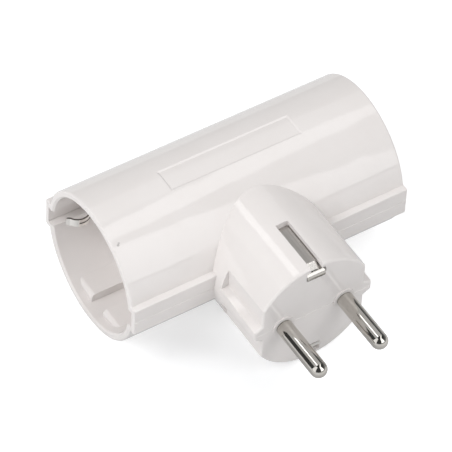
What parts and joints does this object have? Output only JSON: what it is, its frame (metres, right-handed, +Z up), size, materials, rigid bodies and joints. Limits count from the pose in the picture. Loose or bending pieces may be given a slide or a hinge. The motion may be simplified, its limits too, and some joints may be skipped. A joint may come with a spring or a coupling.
{
  "type": "multi socket adapter",
  "caption": "T-shaped earthed plug adapter: a round two-pin plug with a tube across its back that ends in recessed earthed sockets.",
  "frame": {"origin": "middle of the plug's face, between the pins", "axes": "-Y out of the plug's face along the pins, X along the tube from socket to socket, +Z up"},
  "size_m": [0.086, 0.0856, 0.0432],
  "materials": {
    "white_plastic": "glossy moulded",
    "pin_metal": "polished nickel plate",
    "contact_brass": "plain stamped",
    "earth_metal": "satin plated",
    "spring_steel": "plain spring steel"
  },
  "bodies": {
    "root": {"earth_bar_back": "earth_metal", "earth_bar_front": "earth_metal", "earth_clip_left_back": "earth_metal", "earth_clip_left_front": "earth_metal", "earth_clip_right_back": "earth_metal", "earth_clip_right_front": "earth_metal", "earth_cross_strap": "earth_metal", "live_contact": "contact_brass", "live_link": "contact_brass", "live_rivet": "contact_brass", "lower_shell": "white_plastic", "neutral_contact": "contact_brass", "neutral_link": "contact_brass", "neutral_rivet": "contact_brass", "plug_earth_strip_bottom": "earth_metal", "plug_earth_strip_top": "earth_metal", "plug_pin_left": "pin_metal", "plug_pin_right": "pin_metal", "sleeve_spring_left_lower": "spring_steel", "sleeve_spring_left_upper": "spring_steel", "sleeve_spring_right_lower": "spring_steel", "sleeve_spring_right_upper": "spring_steel", "socket_base_left": "white_plastic", "socket_base_right": "white_plastic", "upper_shell": "white_plastic"}
  },
  "joints": []
}
